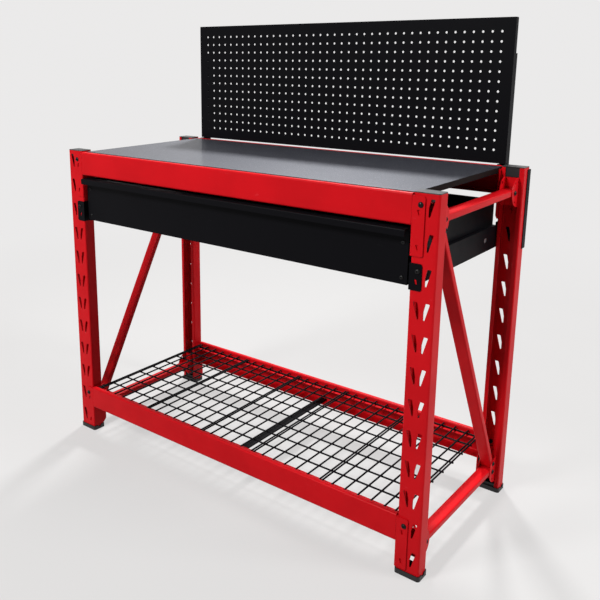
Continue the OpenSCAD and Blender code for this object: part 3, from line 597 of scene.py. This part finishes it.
class BENCH_OT_steel(bpy.types.Operator):
    """Powder coats the red frame and the black sheet metal"""

    bl_idname = "bench.steel"
    bl_label = "Coat the steel"

    def execute(self, context):
        looks = context.scene.bench_finishes
        red = powder_coat(
            "red_powder_coat", looks.red, pale=(0.62, 0.03, 0.04),
            gloss=looks.red_gloss, shine=0.07, peel=0.16,
        )
        black = powder_coat(
            "black_powder_coat", looks.black, pale=(0.009, 0.009, 0.0105),
            gloss=looks.black_gloss, shine=0.04, peel=0.2,
        )
        FINISHES.update(red=red, black=black)
        paint(red, *nodes_like(
            "post_front", "post_rear", "beam_front", "beam_rear", "connector_",
            "brace_upper", "brace_lower", "brace_forks", "diagonal_",
        ))
        paint(black, *nodes_like(
            "drawer_rail", "drawer_front", "drawer_pull", "drawer_side", "drawer_back",
            "drawer_bottom", "shelf_bar", "tool_board", "board_edges", "board_upright",
        ))
        return {"FINISHED"}


class BENCH_OT_seams(bpy.types.Operator):
    """Runs a rippled weld down the groove between each beam and its connector"""

    bl_idname = "bench.seams"
    bl_label = "Weld the beams"

    def execute(self, context):
        width = context.scene.bench_sizes.seam_width
        seeds = []
        for node in nodes_like("beam_front", "beam_rear"):
            low, high = (Vector(corner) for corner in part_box(node))
            front = low.y < 0
            face = low.y if front else high.y
            y = face + (width if front else -width) / 2
            bottom, top = low.z + SEAM_END, high.z - SEAM_END
            ripples = round((top - bottom) / (width * RIPPLE))
            for end, out in ((low.x, -1.0), (high.x, 1.0)):
                x = end + out * width * SEAM_OUT
                seeds += [
                    [(x, y, bottom + (top - bottom) * i / ripples)]
                    for i in range(ripples + 1)
                ]
        seams = weld_tree().grow(
            "beam_welds", seeds, {"Width": width, "Finish": FINISHES["red"]}
        )
        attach(seams, "frame")
        return {"FINISHED"}


class BENCH_OT_plastic(bpy.types.Operator):
    """Finishes the moulded feet and post caps"""

    bl_idname = "bench.plastic"
    bl_label = "Mould the feet and caps"

    def execute(self, context):
        looks = context.scene.bench_finishes
        moulded = moulded_plastic("moulded_black", looks.plastic)
        paint(moulded, "post_caps", *nodes_like("foot_"))
        return {"FINISHED"}


class BENCH_OT_worktop(bpy.types.Operator):
    """Breaks the worktop's edges and finishes its face and its edge band"""

    bl_idname = "bench.worktop"
    bl_label = "Lay the worktop"

    def execute(self, context):
        looks = context.scene.bench_finishes
        face = laminate("speckled_laminate", looks.top, fleck=(0.15, 0.16, 0.20))
        band = pressed_edge("worktop_edge", (0.0045, 0.003, 0.0028))
        paint(face, "worktop")
        board = bevelled("worktop_board", "worktop", context.scene.bench_sizes.top_edge)
        board.data.materials.append(face)
        board.data.materials.append(band)
        for polygon in board.data.polygons:
            polygon.material_index = 0 if polygon.normal.z > 0.9 else 1
        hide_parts("worktop")
        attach(board, "frame")
        return {"FINISHED"}


class BENCH_OT_slides(bpy.types.Operator):
    """Finishes the zinc plated drawer slides"""

    bl_idname = "bench.slides"
    bl_label = "Plate the slides"

    def execute(self, context):
        looks = context.scene.bench_finishes
        paint(zinc("zinc_plate", looks.zinc), *nodes_like("slide_"))
        return {"FINISHED"}


class BENCH_OT_shelf(bpy.types.Operator):
    """Grows the shelf's wires and a weld at each crossing"""

    bl_idname = "bench.shelf"
    bl_label = "Weld the wire shelf"

    def execute(self, context):
        sizes = context.scene.bench_sizes
        black = FINISHES["black"]
        along = loose_parts("shelf_long_wires")
        across = loose_parts("shelf_cross_wires")
        lines = [self.middle_line(low, high, X) for low, high in along]
        lines += [self.middle_line(low, high, Y) for low, high in across]
        radius = (along[0][1].z - along[0][0].z) / 2
        wires = self.wire_tree().grow(
            "shelf_wires", lines,
            {"Radius": radius, "Sides": sizes.wire_sides, "Finish": black},
        )
        seam = (along[0][1].z + across[0][0].z) / 2
        seeds = [
            [((c[0].x + c[1].x) / 2, (a[0].y + a[1].y) / 2, seam)]
            for a in along
            for c in across
        ]
        welds = weld_tree().grow(
            "shelf_welds", seeds, {"Width": sizes.weld_width, "Finish": black}
        )
        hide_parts("shelf_long_wires", "shelf_cross_wires")
        for piece in (wires, welds):
            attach(piece, "frame")
        return {"FINISHED"}

    def middle_line(self, low, high, axis):
        """Both ends of a wire's centre line along an axis."""
        ends = []
        for corner in (low, high):
            end = [(a + b) / 2 for a, b in zip(low, high)]
            end[axis] = corner[axis]
            ends.append(tuple(end))
        return ends

    def wire_tree(self):
        """Round wire with closed ends on each line."""
        wire = Sprout(
            "Drawn wire",
            {
                "Radius": "NodeSocketFloat", "Sides": "NodeSocketInt",
                "Finish": "NodeSocketMaterial",
            },
        )
        path = wire.add("GeometryNodeMeshToCurve", None, {"Mesh": wire.size("Geometry")})
        ring = wire.add(
            "GeometryNodeCurvePrimitiveCircle", None,
            {"Resolution": wire.size("Sides"), "Radius": wire.size("Radius")},
        )
        tube = wire.add(
            "GeometryNodeCurveToMesh", None,
            {"Curve": path.outputs[0], "Profile Curve": ring.outputs[0], "Fill Caps": True},
        )
        wire.close(tube.outputs[0], 40.0)
        return wire


class BENCH_OT_bolts(bpy.types.Operator):
    """Grows the bolts and blackens them and the board's screws"""

    bl_idname = "bench.bolts"
    bl_label = "Fit the bolts"

    def execute(self, context):
        steel = dark_bolt("black_bolt_steel", (0.004, 0.004, 0.0045))
        paint(steel, "board_screws")
        tree = self.bolt_tree()
        for name, node, body, size, axis in BOLTS:
            piece = self.fit(tree, name, node, size, axis, steel)
            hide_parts(node)
            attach(piece, body)
        return {"FINISHED"}

    def fit(self, tree, name, node, size, axis, steel):
        """One grown bolt on each bolt of a node that runs along an axis."""
        sizes = bpy.context.scene.bench_sizes
        seeds, facing, grips = [], [], []
        for low, high in loose_parts(node):
            middle, span = (low + high) / 2, high - low
            if node == "rail_bolts" and (span.y > span.x) != (axis == Y):
                continue  # The rails' node holds bolts along Y and screws along X
            side = [0.0, 0.0, 0.0]
            outward = self.outward(node, low, high, axis)
            side[axis] = outward
            head = [middle.x, middle.y, middle.z]
            head[axis] = (high if outward > 0 else low)[axis] - outward * size["head_h"]
            seeds.append([tuple(head)])
            facing.append(side)
            grips.append(span[axis] - size["head_h"])
        return tree.grow(
            name, seeds,
            {
                "Head width": size["head_w"], "Head height": size["head_h"],
                "Shank": size["shank"], "Nut": size["nut"], "Nut height": size["nut_h"],
                "Key": size["key"], "Key depth": size["key_h"],
                "End": sizes.bolt_end, "Finish": steel,
            },
            {"facing": ("FLOAT_VECTOR", facing), "reach": ("FLOAT", grips)},
        )

    def outward(self, node, low, high, axis):
        """The side a head is on: out from the bench, or in for a rail's screw."""
        side = 1.0 if low[axis] + high[axis] > 0 else -1.0
        return -side if node == "rail_bolts" and axis == X else side

    def bolt_tree(self):
        """Domed head with a six-sided key recess, shank and nut."""
        number = "NodeSocketFloat"
        bolt = Sprout(
            "Domed bolt",
            {
                "Head width": number, "Head height": number, "Shank": number, "Nut": number,
                "Nut height": number, "Key": number, "Key depth": number, "End": number,
                "Finish": "NodeSocketMaterial",
            },
        )
        half = bolt.calc("MULTIPLY", bolt.size("Head width"), 0.5)
        tall = bolt.size("Head height")
        ball = bolt.add(
            "GeometryNodeMeshUVSphere", None, {"Segments": 32, "Rings": 16, "Radius": 1.0}
        )
        dome = bolt.add(
            "GeometryNodeTransform", None,
            {"Geometry": ball.outputs[0], "Scale": bolt.vector(half, half, tall)},
        )
        # A block wider than any head takes off the ball's lower half
        block = bolt.add("GeometryNodeMeshCube", None, {"Size": (0.04, 0.04, 0.02)})
        under = bolt.add(
            "GeometryNodeTransform", None,
            {"Geometry": block.outputs[0], "Translation": (0.0, 0.0, -0.01)},
        )
        key = bolt.add(
            "GeometryNodeMeshCylinder", None,
            {"Vertices": 6, "Radius": bolt.calc("MULTIPLY", bolt.size("Key"), 0.5),
             "Depth": bolt.calc("MULTIPLY", bolt.size("Key depth"), 2.0)},
        )
        key_up = bolt.add(
            "GeometryNodeTransform", None,
            {"Geometry": key.outputs[0], "Translation": bolt.vector(0.0, 0.0, tall)},
        )
        head = bolt.add(
            "GeometryNodeMeshBoolean", {"operation": "DIFFERENCE", "solver": "EXACT"},
            {"Mesh 1": dome.outputs[0], "Mesh 2": [under.outputs[0], key_up.outputs[0]]},
        )
        spread = bolt.add(
            "GeometryNodeInstanceOnPoints", None,
            {"Points": bolt.size("Geometry"), "Instance": head.outputs[0],
             "Rotation": bolt.facing()},
        )
        # The shank is unit long and stretched to each bolt's own reach, and the nut is moved
        # along it by that reach
        reach = bolt.add(
            "GeometryNodeInputNamedAttribute", {"data_type": "FLOAT"}, {"Name": "reach"}
        ).outputs[0]
        rod = bolt.add(
            "GeometryNodeMeshCylinder", None, {"Vertices": 20, "Radius": 0.5, "Depth": 1.0}
        )
        rod_down = bolt.add(
            "GeometryNodeTransform", None,
            {"Geometry": rod.outputs[0], "Translation": (0.0, 0.0, -0.5)},
        )
        rods = bolt.add(
            "GeometryNodeInstanceOnPoints", None,
            {"Points": bolt.size("Geometry"), "Instance": rod_down.outputs[0],
             "Rotation": bolt.facing(),
             "Scale": bolt.vector(bolt.size("Shank"), bolt.size("Shank"), reach)},
        )
        nut = bolt.add(
            "GeometryNodeMeshCylinder", None,
            {"Vertices": 6, "Radius": bolt.calc("MULTIPLY", bolt.size("Nut"), 0.5),
             "Depth": bolt.size("Nut height")},
        )
        nuts = bolt.add(
            "GeometryNodeInstanceOnPoints", None,
            {"Points": bolt.size("Geometry"), "Instance": nut.outputs[0],
             "Rotation": bolt.facing()},
        )
        half_nut = bolt.calc("MULTIPLY", bolt.size("Nut height"), 0.5)
        past = bolt.calc("ADD", bolt.size("End"), half_nut)
        inward = bolt.calc("MULTIPLY", bolt.calc("SUBTRACT", reach, past), -1.0)
        seated = bolt.add(
            "GeometryNodeTranslateInstances", None,
            {"Instances": nuts.outputs[0], "Translation": bolt.vector(0.0, 0.0, inward),
             "Local Space": True},
        )
        whole = bolt.add(
            "GeometryNodeJoinGeometry", None,
            {"Geometry": [spread.outputs[0], rods.outputs[0], seated.outputs[0]]},
        )
        bolt.close(whole.outputs[0], 35.0)
        return bolt


# Name, place, what it is aimed at, width in metres and power in watts
LAMPS = (
    ("rear_lamp", (-1.3, 2.3, 3.95), (0.0, 0.0, 0.6), 0.55, 205.0),
    ("front_lamp", (-1.0, -3.3, 3.3), (0.0, 0.0, 0.6), 1.2, 165.0),
    ("side_lamp", (3.3, 0.7, 3.5), (0.4, 0.0, 0.5), 1.4, 138.0),
)


class BENCH_OT_studio(bpy.types.Operator):
    """Sets the pale floor, the lamps and the camera"""

    bl_idname = "bench.studio"
    bl_label = "Set the studio"

    def execute(self, context):
        scene = context.scene
        floor = self.sheet("studio_floor", FLOOR_SIZE, self.backdrop())
        self.world(scene)
        for lamp in LAMPS:
            self.lamp(*lamp)
        self.camera(scene)
        scene.view_settings.view_transform = "Standard"
        return {"FINISHED"}

    def backdrop(self):
        """Pale matt floor that fades into the backdrop's own level far out."""
        f = Finish("studio_floor")
        grain = f.noise(3.0, 2.0)
        far = f.add("ShaderNodeVectorMath", {"operation": "LENGTH"}, {0: f.place})["Value"]
        seen = f.seen()
        f.set(
            Base_Color=f.mix(grain, (0.39, 0.386, 0.383, 1), (0.42, 0.416, 0.412, 1)),
            Roughness=0.75,
            Specular_IOR_Level=0.2,
        )
        lit = Wire(f, f.shader.outputs[0])
        near = f.blend(GLOW_SHARE * seen, lit, self.glow(f, FLOOR_GLOW))
        away = far.step(FADE_FROM, FADE_TO)
        fade = f.blend(away * seen, near, self.glow(f, BACKDROP))
        f.tree.links.new(fade.socket, f.out.inputs[0])
        return f.material

    def glow(self, finish, colour):
        """A plain glow of a colour."""
        return finish.add(
            "ShaderNodeEmission", None, {"Color": colour, "Strength": 1.0}
        )["Emission"]

    def sheet(self, name, size, material):
        """A flat square at floor level."""
        mesh = bpy.data.meshes.new(name)
        h = size / 2
        mesh.from_pydata([(-h, -h, 0), (h, -h, 0), (h, h, 0), (-h, h, 0)], [], [(0, 1, 2, 3)])
        mesh.materials.append(material)
        obj = bpy.data.objects.new(name, mesh)
        bpy.context.scene.collection.objects.link(obj)
        return obj

    def world(self, scene):
        """The backdrop's colour where it is seen, a faint grey where it only lights."""
        world = bpy.data.worlds.new("studio_air")
        scene.world = world
        world.use_nodes = True
        graph = Graph(world.node_tree)
        air = graph.add(
            "ShaderNodeBackground", None, {"Color": (1.0, 0.99, 0.985, 1), "Strength": 0.15}
        )["Background"]
        backdrop = graph.add(
            "ShaderNodeBackground", None, {"Color": BACKDROP, "Strength": 1.0}
        )["Background"]
        out = graph.tree.nodes.new("ShaderNodeOutputWorld")
        whole = graph.blend(graph.seen(), air, backdrop)
        graph.tree.links.new(whole.socket, out.inputs[0])

    def lamp(self, name, place, aim, size, power):
        data = bpy.data.lights.new(name, "AREA")
        data.shape = "DISK"
        data.size = size
        data.energy = power
        lamp = bpy.data.objects.new(name, data)
        lamp.location = place
        turn = (Vector(aim) - Vector(place)).to_track_quat("-Z", "Y")
        lamp.rotation_euler = turn.to_euler()
        bpy.context.scene.collection.objects.link(lamp)

    def camera(self, scene):
        data = bpy.data.cameras.new("camera")
        data.sensor_width = 36.0
        data.lens = 45.52
        data.shift_x = 0.1
        data.shift_y = -0.115
        camera = bpy.data.objects.new("camera", data)
        camera.location = (1.2755, -1.7169, 1.2006)
        camera.rotation_euler = (
            math.radians(90 - 13.09), math.radians(0.099), math.radians(39.72)
        )
        scene.collection.objects.link(camera)
        scene.camera = camera


class BENCH_PT_panel(bpy.types.Panel):
    """Lists the steps and their settings"""

    bl_idname = "BENCH_PT_panel"
    bl_label = "Workbench"
    bl_space_type = "VIEW_3D"
    bl_region_type = "UI"
    bl_category = "Workbench"

    def draw(self, context):
        layout = self.layout
        for group in (context.scene.bench_finishes, context.scene.bench_sizes):
            block = layout.box()
            for key in group.__annotations__:
                block.prop(group, key)
        for step in STEPS:
            layout.operator(step.bl_idname)


STEPS = (
    BENCH_OT_steel,
    BENCH_OT_seams,
    BENCH_OT_plastic,
    BENCH_OT_worktop,
    BENCH_OT_slides,
    BENCH_OT_shelf,
    BENCH_OT_bolts,
    BENCH_OT_studio,
)
CLASSES = (BenchFinishes, BenchSizes, *STEPS, BENCH_PT_panel)


def register():
    for item in CLASSES:
        bpy.utils.register_class(item)
    bpy.types.Scene.bench_finishes = PointerProperty(type=BenchFinishes)
    bpy.types.Scene.bench_sizes = PointerProperty(type=BenchSizes)


def unregister():
    del bpy.types.Scene.bench_sizes
    del bpy.types.Scene.bench_finishes
    for item in reversed(CLASSES):
        bpy.utils.unregister_class(item)


def main():
    register()
    for step in STEPS:
        group, name = step.bl_idname.split(".")
        getattr(getattr(bpy.ops, group), name)()


if __name__ == "__main__":
    main()
